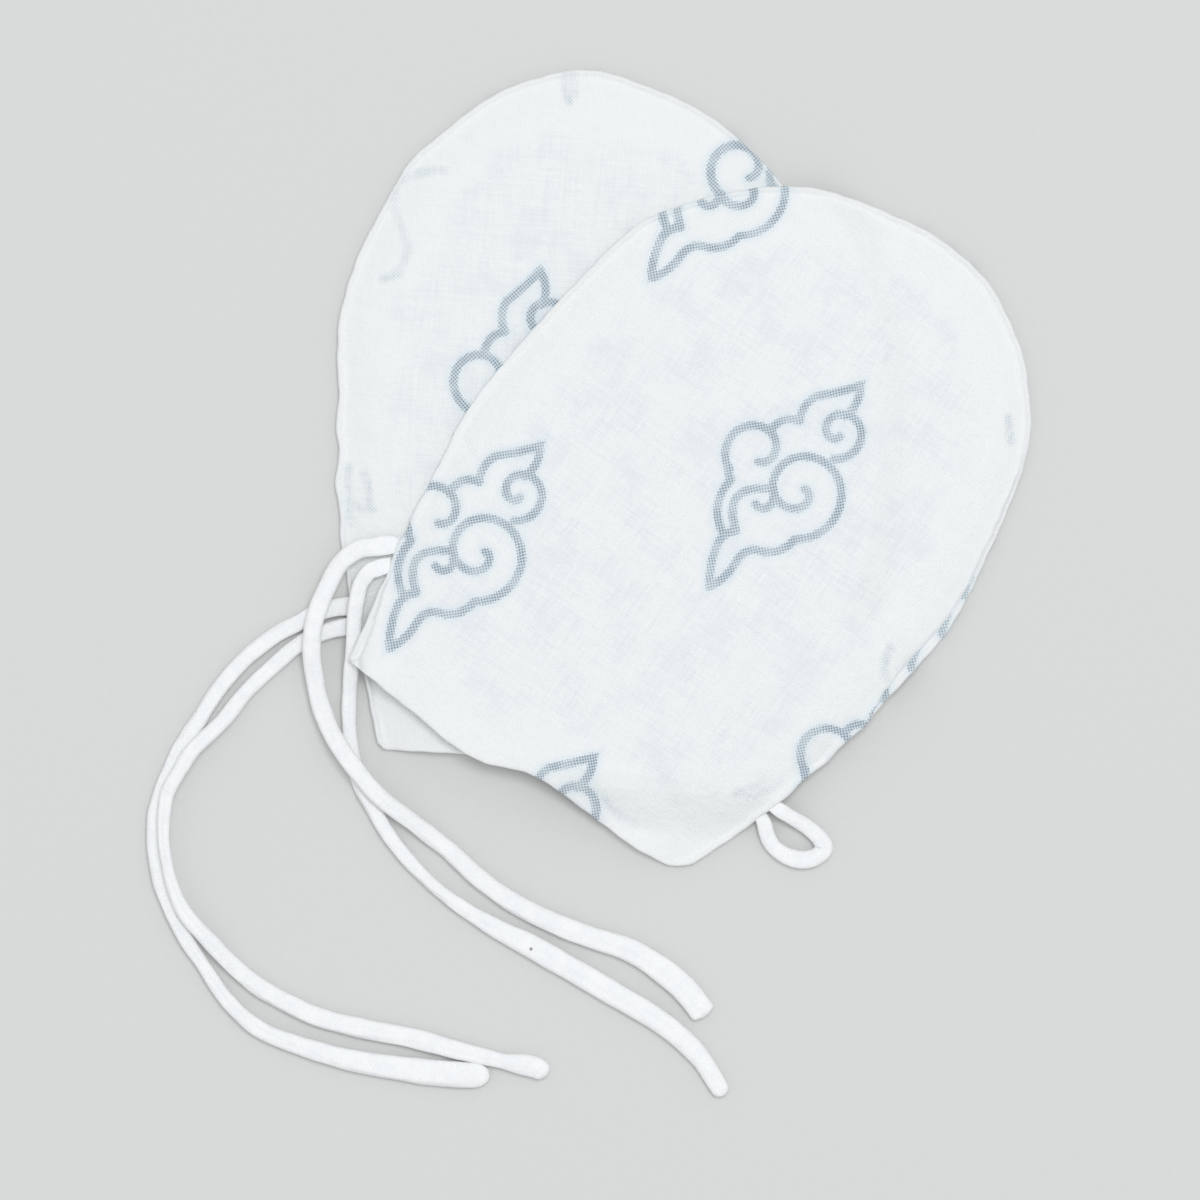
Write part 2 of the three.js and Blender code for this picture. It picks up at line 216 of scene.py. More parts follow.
# The muslin's threads: they wander from straight, and a yarn is thick and thin over these lengths
WANDER_LENGTH = 6.25
THREAD_WANDER = 0.9
YARN_WIDTH = 0.625
YARN_LENGTH = 10.0
THREAD_RISE = 0.045
NAP_RISE = 0.3
NAP_SIZE = 2.0
TUBE_NAP_SIZE = 1.4286
BLOTCH_SIZE = 9.091
TUBE_BLOTCH_SIZE = 3.333
ALLOWANCE_WANDER = 9.0  # the turned-in edge's inner side is uneven by this
DYE_SIZE = 4.545  # the dye is stronger and weaker over this distance
RAGGED_SIZE = 0.4545  # and its edge is ragged over this one
# grey of the painted shade in grooves and sharp folds
CREVICE_SHADE_COLOUR = "#B4B8BE"
LINT_COLOUR = "#6F6A66"
LINT_PLACE = (-0.02584, -0.0818, 0.0024)  # metres: a fleck of lint on one tie
LINT_RADII = (0.18, 0.42)

# Puckers that the turned seam makes, one every few millimetres
PUCKER_SPACING = 6.3
PUCKER_WIDTH = 1.1
PUCKER_REACH = 4.2
PUCKER_HEIGHT = 0.13

# The print, a traditional cloud scroll in a half-drop repeat. Across and along are from the middle of one cloud.
PRINT_ACROSS = 39.2
PRINT_ALONG = 77.6
PRINT_FAR = 6.0  # distances from a line are kept up to this
TIP_TAPER = 0.7  # the printed line ends in points that narrow by this
CLOUD_BOWS = table(
    "across1 along1 across2 along2 bulge",
    (0.8, 21.2, -4.4, 15.6, -0.2), (-4.4, 15.6, -4.3, 10.4, 0.7), (-4.3, 10.4, -7.5, 6.8, 0.9),
    (0.8, 21.2, 1.6, 15.4, -0.8), (-9.6, -3.3, -8.3, -4.4, 0.1), (-8.3, -4.4, -4.0, -12.9, 1.6),
    (-1.9, -2.0, -2.6, -11.2, 3.5), (-2.6, -11.2, -4.0, -14.6, 0.5), (-4.0, -14.6, -1.2, -21.4, 0.4),
    (-0.9, -21.4, 0.3, -15.0, 0.5), (0.3, -15.0, 3.4, -11.5, -0.9), (3.4, -11.5, 6.4, -6.9, 0.7),
)
CLOUD_SCROLLS = table(
    "across along start turn outer inner",
    (2.45, 0.55, -61, 470, 8.4, 0.9), (-7.5, 2.2, 249, -296, 5.7, 2.0), (2.3, 12.6, -66, 385, 4.75, 0.8),
    (-2.0, -4.2, 40, -150, 1.9, 1.4),
)
CLOUD_TIPS = table("across along to_across to_along", (0.85, 21.2, 1.15, 22.5), (-1.05, -21.4, -1.15, -22.7))

# Ties: the middle of each tube from the seam to its free end, in metres in the row frame
OVER_TIE_1_ROUTE = (
    (-0.0501, -0.0131, 0.0051), (-0.0520, -0.0134, 0.0050), (-0.0551, -0.0139, 0.0044), (-0.0582, -0.0162, 0.0040),
    (-0.0604, -0.0201, 0.0040), (-0.0619, -0.0237, 0.00405), (-0.0629, -0.0276, 0.00405), (-0.0631, -0.0315, 0.0037),
    (-0.0626, -0.0360, 0.0026), (-0.0619, -0.0394, 0.0024), (-0.0602, -0.0440, 0.0030), (-0.0581, -0.0478, 0.0039),
    (-0.0558, -0.0510, 0.0041), (-0.0530, -0.0544, 0.0040), (-0.0502, -0.0570, 0.0035), (-0.0471, -0.0593, 0.0024),
    (-0.0434, -0.0622, 0.0015), (-0.0401, -0.0648, 0.0013), (-0.0347, -0.0697, 0.0013), (-0.0291, -0.0738, 0.0013),
    (-0.0228, -0.0770, 0.0013), (-0.0160, -0.0797, 0.0013), (-0.0090, -0.0821, 0.0013), (-0.0041, -0.0850, 0.0013),
    (0.0000, -0.0884, 0.0013), (0.0029, -0.0920, 0.0013), (0.0038, -0.0933, 0.0013),
)
OVER_TIE_2_ROUTE = (
    (-0.0517, -0.0170, 0.0050), (-0.0532, -0.0176, 0.0048), (-0.0547, -0.0196, 0.0042), (-0.0554, -0.0226, 0.0038),
    (-0.0558, -0.0257, 0.0037), (-0.0559, -0.0286, 0.0037), (-0.0561, -0.0315, 0.0036), (-0.0565, -0.0345, 0.0027),
    (-0.0567, -0.0377, 0.0015), (-0.0568, -0.0411, 0.0013), (-0.0567, -0.0445, 0.0013), (-0.0563, -0.0483, 0.0013),
    (-0.0556, -0.0517, 0.0013), (-0.0546, -0.0547, 0.0013), (-0.0527, -0.0578, 0.0013), (-0.0507, -0.0614, 0.0013),
    (-0.0471, -0.0663, 0.0013), (-0.0423, -0.0711, 0.0013), (-0.0367, -0.0753, 0.0013), (-0.0311, -0.0787, 0.0013),
    (-0.0257, -0.0814, 0.0013), (-0.0194, -0.0850, 0.0013), (-0.0124, -0.0891, 0.0013), (-0.0061, -0.0927, 0.0013),
    (-0.0014, -0.0961, 0.0013), (0.0029, -0.1003, 0.0013), (0.0056, -0.1044, 0.0013), (0.0070, -0.1068, 0.0013),
)
UNDER_TIE_1_ROUTE = (
    (-0.0570, -0.0235, 0.0013), (-0.0593, -0.0238, 0.0013), (-0.0624, -0.0247, 0.0013), (-0.0656, -0.0264, 0.0013),
    (-0.0690, -0.0282, 0.0013), (-0.0748, -0.0328, 0.0013), (-0.0791, -0.0377, 0.0013), (-0.0823, -0.0428, 0.0013),
    (-0.0857, -0.0481, 0.0013), (-0.0873, -0.0515, 0.0013), (-0.0888, -0.0551, 0.0013), (-0.0897, -0.0585, 0.0013),
    (-0.0899, -0.0621, 0.0013), (-0.0898, -0.0649, 0.0013), (-0.0890, -0.0702, 0.0013), (-0.0870, -0.0755, 0.0013),
    (-0.0843, -0.0806, 0.0013), (-0.0819, -0.0842, 0.0013), (-0.0777, -0.0904, 0.0013), (-0.0721, -0.0954, 0.0013),
    (-0.0658, -0.0981, 0.0013), (-0.0568, -0.1006, 0.0013), (-0.0471, -0.1023, 0.0013), (-0.0403, -0.1030, 0.0013),
    (-0.0328, -0.1034, 0.0013),
)
UNDER_TIE_2_ROUTE = (
    (-0.0565, -0.0269, 0.0013), (-0.0593, -0.0274, 0.0013), (-0.0624, -0.0285, 0.0013), (-0.0656, -0.0303, 0.0013),
    (-0.0685, -0.0326, 0.0013), (-0.0740, -0.0377, 0.0015), (-0.0782, -0.0430, 0.0026), (-0.0835, -0.0481, 0.0037),
    (-0.0856, -0.0515, 0.0039), (-0.0875, -0.0551, 0.0039), (-0.0881, -0.0585, 0.0039), (-0.0883, -0.0621, 0.0039),
    (-0.0881, -0.0649, 0.0039), (-0.0870, -0.0702, 0.0038), (-0.0847, -0.0755, 0.0036), (-0.0804, -0.0806, 0.0027),
    (-0.0770, -0.0842, 0.0016), (-0.0719, -0.0884, 0.0013), (-0.0668, -0.0913, 0.0013), (-0.0624, -0.0933, 0.0013),
    (-0.0541, -0.0954, 0.0013), (-0.0457, -0.0971, 0.0013), (-0.0381, -0.0991, 0.0013), (-0.0304, -0.1010, 0.0013),
    (-0.0248, -0.1021, 0.0013), (-0.0232, -0.1034, 0.0013),
)

# Each tie's route, the place where it leaves the seam, its length in metres, and a table of its width and
# thickness at shares of its length
TIES = table(
    "node route root length end_round shape",
    (
        "over_mitten_tie_1", OVER_TIE_1_ROUTE, (-0.0479, -0.0132, 0.0046), 0.125, 1.0,
        table(
            "at width thick",
            (0.0, 2.0, 0.4), (0.012, 3.4, 0.5), (0.045, 3.3, 1.7), (0.08, 3.1, 2.1), (0.3, 3.2, 2.2),
            (0.5, 3.0, 2.2), (0.7, 3.4, 2.2), (0.85, 3.9, 2.1), (0.93, 4.5, 2.1), (1.0, 4.4, 2.0),
        ),
    ),
    (
        "over_mitten_tie_2", OVER_TIE_2_ROUTE, (-0.0493, -0.0162, 0.0046), 0.126, 1.3,
        table(
            "at width thick",
            (0.0, 2.0, 0.4), (0.012, 3.0, 0.5), (0.045, 2.8, 1.6), (0.08, 2.7, 1.7), (0.2, 2.6, 1.7),
            (0.25, 2.5, 2.0), (0.42, 2.6, 2.1), (0.52, 2.1, 1.9), (0.6, 3.2, 2.1), (0.66, 4.1, 2.1),
            (0.78, 4.2, 2.2), (0.9, 3.8, 2.2), (0.96, 3.3, 2.1), (1.0, 2.9, 2.0),
        ),
    ),
    (
        "under_mitten_tie_1", UNDER_TIE_1_ROUTE, (-0.0540, -0.0235, 0.00115), 0.136, 3.2,
        table(
            "at width thick",
            (0.0, 3.2, 0.5), (0.02, 3.2, 0.6), (0.045, 3.0, 1.6), (0.08, 2.8, 2.0), (0.25, 2.7, 2.1),
            (0.45, 2.7, 2.1), (0.6, 2.4, 2.0), (0.72, 3.0, 2.1), (0.82, 3.6, 2.1), (0.93, 4.5, 2.1), (1.0, 4.2, 2.0),
        ),
    ),
    (
        "under_mitten_tie_2", UNDER_TIE_2_ROUTE, (-0.0535, -0.0265, 0.00115), 0.136, 1.5,
        table(
            "at width thick",
            (0.0, 3.2, 0.5), (0.02, 3.1, 0.6), (0.045, 2.9, 1.6), (0.08, 2.7, 2.0), (0.3, 2.6, 2.0),
            (0.42, 1.9, 1.9), (0.52, 2.8, 2.1), (0.68, 3.2, 2.1), (0.85, 3.4, 2.1), (0.94, 2.6, 1.9),
            (0.97, 3.7, 2.2), (1.0, 3.5, 2.2),
        ),
    ),
)
TIE_STEP = 0.4  # between the rings of a tube
TUBE_SIDES = 24

# Loop: along the seam, and out from the seam, as the solid has it, then what the seam hides of its feet
LOOP_ROUTE = table(
    "along out",
    (18.1, 1.3), (18.2, 4.0), (18.3, 6.6), (18.1, 8.9), (17.8, 10.2), (16.9, 11.6), (15.1, 11.3), (13.4, 9.9),
    (12.4, 7.7), (12.2, 5.4), (12.7, 3.4), (13.6, 2.1), (14.9, 0.5),
)
LOOP_FOOT_1 = {"along": 18.0, "out": -0.5}
LOOP_FOOT_2 = {"along": 15.8, "out": -1.1}
LOOP_FOOT_HEIGHT = 0.85
LOOP_HEIGHT = 1.3
LOOP_SHAPE = table(
    "at width thick",
    (0.0, 1.6, 0.3), (0.03, 2.3, 0.35), (0.06, 2.7, 0.6), (0.11, 2.6, 1.8), (0.3, 2.7, 2.0), (0.42, 3.1, 2.0),
    (0.47, 2.9, 2.1), (0.52, 3.2, 2.0), (0.7, 2.9, 2.0), (0.88, 2.7, 1.8), (0.93, 2.7, 0.6), (0.97, 2.3, 0.35),
    (1.0, 1.6, 0.3),
)

# Camera: straight above, with the frame's middle and width on the surface
VIEW_MIDDLE = (-14.11, -22.44)
VIEW_WIDTH = 204.0
CAMERA_HEIGHT = 1.6
CLOTH_LEVEL = 0.003  # the frame's width is measured at this height
SENSOR = 36.0

# Floor and light, in metres
FLOOR_SIZE = 8
FLOOR_DROP = 0.0001
PAPER_GRAIN = 1 / 900
PAPER_FLECK = "#BFC2C6"
KEY_PLACE = (0.15, 0.25, 1.8)
KEY_SIZE = 0.7
KEY_COLOUR = "#FAFCFF"
SKY_COLOUR = "#FBFCFE"


def colour_setting(name, description, code):
    """A colour that a user may change."""
    return FloatVectorProperty(name=name, description=description, subtype="COLOR", size=3, default=linear(code))


def length_setting(name, description, value, least, most):
    """A length that a user may change, from millimetres."""
    return FloatProperty(
        name=name,
        description=description,
        default=value * MM,
        min=least * MM,
        max=most * MM,
        precision=5,
        unit="LENGTH",
    )


class ClothSettings(bpy.types.PropertyGroup):
    """Sizes and colours of the muslin."""

    thread_pitch: length_setting(
        "Thread pitch",
        "From one thread of the weave to the next; the real 0.26 mm is drawn a little coarser to show",
        0.33,
        0.2,
        2.0,
    )
    mesh_step: length_setting("Mesh step", "Distance between the points of a panel that shows", 0.56, 0.5, 3.0)
    hidden_step: length_setting(
        "Hidden mesh step", "Distance between the points of a panel that lies beneath", 0.85, 0.5, 3.0
    )
    cloth: colour_setting("Cloth", "Colour of the threads", "#F2F4F3")
    doubled: colour_setting("Doubled cloth", "Colour of the ties and loops, which let less light through", "#FAFBFA")
    inside: colour_setting("Single layer", "Colour where one thin layer lets the light through", "#DFE3EB")
    between: colour_setting("Between threads", "Colour of the small openings of the weave", "#CDD2DA")


class PrintSettings(bpy.types.PropertyGroup):
    """Sizes and colours of the cloud print."""

    line_width: length_setting("Line width", "Width of the printed line", 1.32, 0.5, 4.0)
    halo_width: length_setting("Halo width", "How far the dye has crept past the line", 1.6, 0.0, 5.0)
    ink: colour_setting("Ink", "Colour of the printed line", "#C8D3DA")
    ink_dot: colour_setting("Ink on raised threads", "Colour where a raised thread took more dye", "#7A8B97")
    halo: colour_setting("Halo", "Colour of the crept dye", "#DFEAF0")
    behind: colour_setting("Print behind", "Colour of print on a turned-in edge, seen through the cloth", "#BECBD4")


class StageSettings(bpy.types.PropertyGroup):
    """Floor and light."""

    floor: colour_setting("Floor", "Colour of the floor", "#D8D8D6")
    key_power: FloatProperty(
        name="Key light",
        description="Power of the soft light from the upper right",
        default=13.2,
        min=0.0,
        unit="POWER",
    )
    sky: FloatProperty(name="Sky", description="Strength of the even light from all round", default=0.68, min=0.0)


# Curves and distances, in millimetres


def smooth(x, low, high):
    t = np.clip((x - low) / (high - low), 0, 1)
    return t * t * (3 - 2 * t)


def resampled(line, step):
    """The line again, with points about step apart and its ends kept."""
    along = np.concatenate([[0], np.cumsum(np.linalg.norm(np.diff(line, axis=0), axis=1))])
    at = np.linspace(0, along[-1], max(2, round(along[-1] / step) + 1))
    return np.stack([np.interp(at, along, column) for column in line.T], axis=1)


def spline(points, step):
    """A uniform Catmull-Rom curve through points, as the solids' cut has it."""
    p = np.array(points, float)
    t = np.linspace(0, 1, 33)[:-1, None]
    spans = []
    for i in range(len(p) - 1):
        before, start, end, after = p[max(i - 1, 0)], p[i], p[i + 1], p[min(i + 2, len(p) - 1)]
        v0, v1 = (end - before) / 2, (after - start) / 2
        cubic = (2 * start - 2 * end + v0 + v1) * t**3
        square = (3 * end - 3 * start - 2 * v0 - v1) * t**2
        spans.append(cubic + square + v0 * t + start)
    return resampled(np.concatenate([*spans, p[-1:]]), step)


def route_curve(points, step):
    """A centripetal Catmull-Rom curve through points in space, as the solids' ties have it."""
    p = np.array(points, float)
    p = np.concatenate([[2 * p[0] - p[1]], p, [2 * p[-1] - p[-2]]])
    spans = []
    for a, b, c, d in zip(p, p[1:], p[2:], p[3:]):
        knots = np.cumsum([0, *(np.sqrt(np.linalg.norm(q - r)) for q, r in ((b, a), (c, b), (d, c)))])
        t = np.linspace(knots[1], knots[2], 25)[:-1, None]

        def between(low, high, start, end):
            return ((high - t) * start + (t - low) * end) / (high - low)

        ab, bc, cd = (between(knots[i], knots[i + 1], q, r) for i, (q, r) in enumerate(((a, b), (b, c), (c, d))))
        abc, bcd = between(knots[0], knots[2], ab, bc), between(knots[1], knots[3], bc, cd)
        spans.append(between(knots[1], knots[2], abc, bcd))
    return resampled(np.concatenate([*spans, p[-2:-1]]), step)


def tree_of(points):
    tree = KDTree(len(points))
    for i, p in enumerate(points):
        tree.insert((*p, 0), i)
    tree.balance()
    return tree


def off_line(points, line):
    """Distance of each point from a line, and how far along the line its nearest place is."""
    tree = tree_of(line)
    near = np.array([tree.find((x, y, 0))[1] for x, y in points], int)
    lengths = np.concatenate([[0], np.cumsum(np.linalg.norm(np.diff(line, axis=0), axis=1))])
    best, place = np.full(len(points), np.inf), np.zeros(len(points))
    for start in (np.maximum(near - 1, 0), np.minimum(near, len(line) - 2)):
        a, way = line[start], line[start + 1] - line[start]
        t = np.clip(((points - a) * way).sum(1) / (way * way).sum(1), 0, 1)
        far = np.linalg.norm(points - a - t[:, None] * way, axis=1)
        nearer = far < best
        best = np.where(nearer, far, best)
        place = np.where(nearer, lengths[start] + t * np.linalg.norm(way, axis=1), place)
    return best, place


def off_segment(points, start, end):
    """Distance from a straight line between two points, and the share of the way along it."""
    a, way = np.array(start, float), np.array(end, float) - np.array(start, float)
    t = np.clip((points - a) @ way / (way @ way), 0, 1)
    return np.linalg.norm(points - a - t[:, None] * way, axis=1), t


def inside(points, outline):
    found = np.zeros(len(points), bool)
    x, y = points.T
    for a, b in zip(outline, np.roll(outline, -1, axis=0)):
        if a[1] != b[1]:
            found ^= ((a[1] > y) != (b[1] > y)) & (x < a[0] + (y - a[1]) / (b[1] - a[1]) * (b[0] - a[0]))
    return found


def in_layout(mitten, points):
    s, c = math.sin(mitten["heading"]), math.cos(mitten["heading"])
    across, along = points.T
    return np.stack([across * s + along * c, along * s - across * c], axis=1) + mitten["middle"]


def in_mitten(mitten, points):
    s, c = math.sin(mitten["heading"]), math.cos(mitten["heading"])
    x, y = (points - mitten["middle"]).T
    return np.stack([x * s - y * c, x * c + y * s], axis=1)


def cut_lines(mitten, step):
    """The seam from the cuff's right corner over the fingertips to its left corner, and the cuff from there back."""
    rows = mitten["sections"]
    right = [(row["right"], row["along"]) for row in rows]
    left = [(-row["left"], row["along"]) for row in reversed(rows)]
    cuff = [left[-1], *((row["across"], row["along"]) for row in mitten["cuff"]), right[0]]
    return spline([*right, mitten["tip"], *left], step), spline(cuff, step)


# How the cloth lies


def lay_height(points):
    """Height on which the upper mitten's cloth lies at points of the layout."""
    local = in_mitten(UNDER_MITTEN, points)
    seam, cuff = cut_lines(UNDER_MITTEN, 1.5)
    off_seam = off_line(local, seam)[0]
    depth = np.minimum(off_seam, off_line(local, cuff)[0])
    depth = np.where(inside(local, np.concatenate([seam, cuff[1:-1]])), depth, -depth)
    foot = (UNDER_MITTEN["loop_across"], LOOP_SPAN_ALONG)
    off_loop = off_segment(local, foot, (foot[0] + LOOP_SPAN_OUT, foot[1]))[0]
    held = smooth(np.maximum(depth, LOOP_SPAN_RADIUS - off_loop), -DRAPE_START - DRAPE_LENGTH, -DRAPE_START)
    loft = LOFT * smooth(off_seam, 0, LOFT_RISE) * smooth(depth, -MOUTH_FADE, 0)
    top = (EDGE_HEIGHT + REST_CLEARANCE + loft) * held
    propped = 1 - smooth(off_segment(points, PROP_FROM, PROP_TO)[0], PROP_FLAT, PROP_FLAT + PROP_FADE)
    return top + (np.maximum(top, PROP_HEIGHT) - top) * propped


def surface_height(mitten, points):
    """Height of what a mitten lies on at points of its own frame."""
    if mitten is UNDER_MITTEN:
        return np.zeros(len(points))
    return lay_height(in_layout(mitten, points))


def wavy(mitten, line):
    """A cut line with the small unevenness of a sewn and turned edge."""
    way = np.gradient(line, axis=0)
    out = np.stack([way[:, 1], -way[:, 0]], axis=1) / np.linalg.norm(way, axis=1)[:, None]
    along = np.concatenate([[0], np.cumsum(np.linalg.norm(np.diff(line, axis=0), axis=1))])
    turn = 2 * math.pi * along
    shift = np.sin(turn / FINE_WAVE_LENGTH) + 0.8 * np.sin(turn / (FINE_WAVE_LENGTH * 2.3) + 1.0)
    shift = shift * FINE_WAVE_HEIGHT
    for row in mitten["waves"]:
        there = (line[:, 0] < 0) == (row["side"] == "left")
        fade = np.exp(-(((line[:, 1] - row["along"]) / row["reach"] * 2) ** 2)) * there
        shift = shift + row["height"] * fade * np.sin(2 * math.pi * line[:, 1] / row["length"])
    ends = smooth(np.minimum(along, along[-1] - along), 0, 3)
    return line + out * (shift * ends)[:, None]


def eased_corners(mitten, seam, cuff):
    """The two cut lines with the cuff's corners rounded."""
    outline = np.concatenate([seam, cuff[1:-1]])
    share = np.zeros(len(outline))
    for row in mitten["corners"]:
        corner = seam[0] if row["side"] == "right" else seam[-1]
        far = np.linalg.norm(outline - corner, axis=1)
        share = np.maximum(share, 0.5 * np.clip(1.6 - far / row["reach"], 0, 1))
    for _ in range(60):
        middle = (np.roll(outline, 1, axis=0) + np.roll(outline, -1, axis=0)) / 2
        outline = outline + (middle - outline) * share[:, None]
    return outline[: len(seam)], np.concatenate([outline[len(seam) - 1 :], outline[:1]])


def seam_shows(mitten, points, inset):
    """How deep in the groove each point is where the seam shows, and where the lower panel's cloth lies outside it."""
    line = np.zeros(len(points))
    for side in ("left", "right"):
        rows = [row for row in mitten["seam_shows"] if row["side"] == side]
        if rows:
            there = (points[:, 0] < 0) == (side == "left")
            along = [row["along"] for row in rows]
            line = np.where(there, np.interp(points[:, 1], along, [row["inset"] for row in rows]), line)
    groove = np.exp(-(((inset - line) / SEAM_GROOVE_WIDTH) ** 2)) * smooth(line, 0.2, 0.8)
    return groove, inset < line


def off_crease(points, row):
    """Distance from the straight line of a crease, and the share of the way along it."""
    return off_segment(points, (row["across1"], row["along1"]), (row["across2"], row["along2"]))


def relief(mitten, points, seam_inset, seam_place, edge_inset):
    """Creases, seam puckers, the step of the turned-in edge and the cloth's slight unevenness."""
    across, along = points.T
    height = SWELL["height"] * np.sin(across / SWELL["across"] + 1.0) * np.sin(along / SWELL["along"])
    height = height + RIPPLE["height"] * np.sin(across / RIPPLE["across"] - along / RIPPLE["along"])
    for row in mitten["creases"]:
        far, share = off_crease(points, row)
        fade = np.sin(math.pi * np.clip(share * 0.86 + 0.07, 0, 1))
        height += row["height"] * np.exp(-((far / row["width"]) ** 2)) * fade
    for i in range(int(seam_place.max() / PUCKER_SPACING)):
        place = PUCKER_SPACING * (i + 0.5 + 0.35 * math.sin(5.3 * i))
        size = PUCKER_HEIGHT * (0.35 + 0.65 * math.sin(2.7 * i + 0.6) ** 2)
        reach = PUCKER_REACH * (0.6 + 0.5 * math.sin(1.9 * i) ** 2)
        ripple = np.exp(-(((seam_place - place) / PUCKER_WIDTH) ** 2)) - 0.35
        height += size * ripple * np.exp(-((seam_inset / reach) ** 2)) * smooth(seam_inset, 0.2, 1.2)
    return height + STEP_HEIGHT * (1 - smooth(edge_inset, ALLOWANCE, ALLOWANCE + ALLOWANCE_FADE))


def sharp_creases(mitten, points):
    """How deep in a narrow trough each point is, for the painted shade that the material puts there."""
    found = np.zeros(len(points))
    for row in mitten["creases"]:
        if row["width"] < SHARP_WIDTH and row["height"] < 0:
            far, share = off_crease(points, row)
            fade = np.sin(math.pi * np.clip(share, 0, 1)) ** 0.5
            found = np.maximum(found, np.exp(-((far / row["width"] / 0.8) ** 2)) * fade)
    return found


def bow(row):
    """Points along a shallow arc between two places."""
    t = np.linspace(0, 1, 80)[:, None]
    start, end = np.array((row["across1"], row["along1"])), np.array((row["across2"], row["along2"]))
    way = end - start
    out = np.array((way[1], -way[0])) / np.linalg.norm(way)
    return start + way * t + out * 4 * row["bulge"] * (t - t * t)


def cloud_lines():
    """Points along every line of one cloud."""
    lines = [bow(row) for row in CLOUD_BOWS]
    t = np.linspace(0, 1, 400)
    for row in CLOUD_SCROLLS:
        turn = np.radians(row["start"] + row["turn"] * t)
        radius = row["inner"] + (row["outer"] - row["inner"]) * (1 - t) ** 0.85
        lines.append(np.stack([row["across"] + radius * np.cos(turn), row["along"] + radius * np.sin(turn)], axis=1))
    return np.concatenate(lines)


CLOUD_TREE = tree_of(cloud_lines())


def cloud_distance(points):
    """Distance of each point from the nearest line of one cloud, whose two tips run to a point."""
    found = np.array([CLOUD_TREE.find((x, y, 0))[2] for x, y in points])
    for row in CLOUD_TIPS:
        far, share = off_segment(points, (row["across"], row["along"]), (row["to_across"], row["to_along"]))
        found = np.minimum(found, far + TIP_TAPER * share)
    return found


def mark_distance(points, marks):
    """Distance of each point of the cut from the nearest of a mitten's marks."""
    if not marks:
        return np.full(len(points), PRINT_FAR)
    tree = tree_of(np.concatenate([bow(row) for row in marks]))
    return np.minimum([tree.find((x, y, 0))[2] for x, y in points], PRINT_FAR)


def print_distance(mitten, points, origin):
    """Distance of each point of the cut from the nearest printed line."""
    found = np.full(len(points), PRINT_FAR)
    for row in mitten["print_shifts"]:
        far = np.linalg.norm(points - (row["across"], row["along"]), axis=1)
        points = points - np.exp(-((far / row["reach"]) ** 2))[:, None] * (row["by_across"], row["by_along"])
    column = np.round((points[:, 0] - origin[0]) / PRINT_ACROSS)
    for step in (-1, 0, 1):
        across = points[:, 0] - origin[0] - (column + step) * PRINT_ACROSS
        drop = origin[1] + (column + step) * PRINT_ALONG / 2
        along = points[:, 1] - drop - np.round((points[:, 1] - drop) / PRINT_ALONG) * PRINT_ALONG
        near = np.flatnonzero((np.abs(across) < 20) & (np.abs(along) < 30))
        if len(near):
            far = cloud_distance(np.stack([across[near], along[near]], axis=1))
            found[near] = np.minimum(found[near], far)
    return found


# Meshes


def plan_of(outline, step):
    """Points and triangles that fill an outline: rings that follow its edge, then an even field."""
    way = np.roll(outline, -1, axis=0) - np.roll(outline, 1, axis=0)
    inward = np.stack([-way[:, 1], way[:, 0]], axis=1) / np.linalg.norm(way, axis=1)[:, None]
    closed = np.concatenate([outline, outline[:1]])
    found = [outline]
    for inset in EDGE_INSETS[1:]:
        ring = outline + inward * inset
        found.append(ring[off_line(ring, closed)[0] > inset * 0.96])
    low, high = outline.min(0), outline.max(0)
    rows = np.arange(low[1], high[1], step * math.sqrt(3) / 2)
    field = np.array(
        [(x, y) for i, y in enumerate(rows) for x in np.arange(low[0] + (i % 2) * step / 2, high[0], step)]
    )
    field = field[inside(field, outline)]
    field = field[off_line(field, closed)[0] > EDGE_INSETS[-1] + step * 0.6]
    points = np.concatenate([*found, field])
    count = len(outline)
    edges = [(i, (i + 1) % count) for i in range(count)]
    verts, _, faces, *_ = delaunay_2d_cdt([Vector(p) for p in points], edges, [], 1, 1e-7)
    return np.array([(v.x, v.y) for v in verts]), np.array(faces, int)


def shell_faces(triangles, count):
    """Faces of a closed shell: the upper side, the lower side, and the rim round them."""
    edges = np.concatenate([triangles[:, [0, 1]], triangles[:, [1, 2]], triangles[:, [2, 0]]])
    keys = edges[:, 0].astype(np.int64) * count + edges[:, 1]
    back = edges[:, 1].astype(np.int64) * count + edges[:, 0]
    rim = edges[~np.isin(keys, back)]
    quads = np.stack([rim[:, 0] + count, rim[:, 1] + count, rim[:, 1], rim[:, 0]], axis=1)
    return [*triangles.tolist(), *(triangles[:, ::-1] + count).tolist(), *quads.tolist()]


def new_object(name, points, faces):
    """A smooth-shaded mesh object of points in metres."""
    mesh = bpy.data.meshes.new(name)
    mesh.from_pydata(points.tolist(), [], faces)
    mesh.polygons.foreach_set("use_smooth", np.ones(len(mesh.polygons), bool))
    mesh.update()
    made = bpy.data.objects.new(name, mesh)
    bpy.context.scene.collection.objects.link(made)
    return made


def add_cut_map(mesh, cut):
    """A UV map that holds millimetres of the flat cloth."""
    layer = mesh.uv_layers.new(name="cut_mm")
    corners = np.zeros(len(mesh.loops), np.int32)
    mesh.loops.foreach_get("vertex_index", corners)
    layer.data.foreach_set("uv", cut[corners].astype(np.float32).ravel())


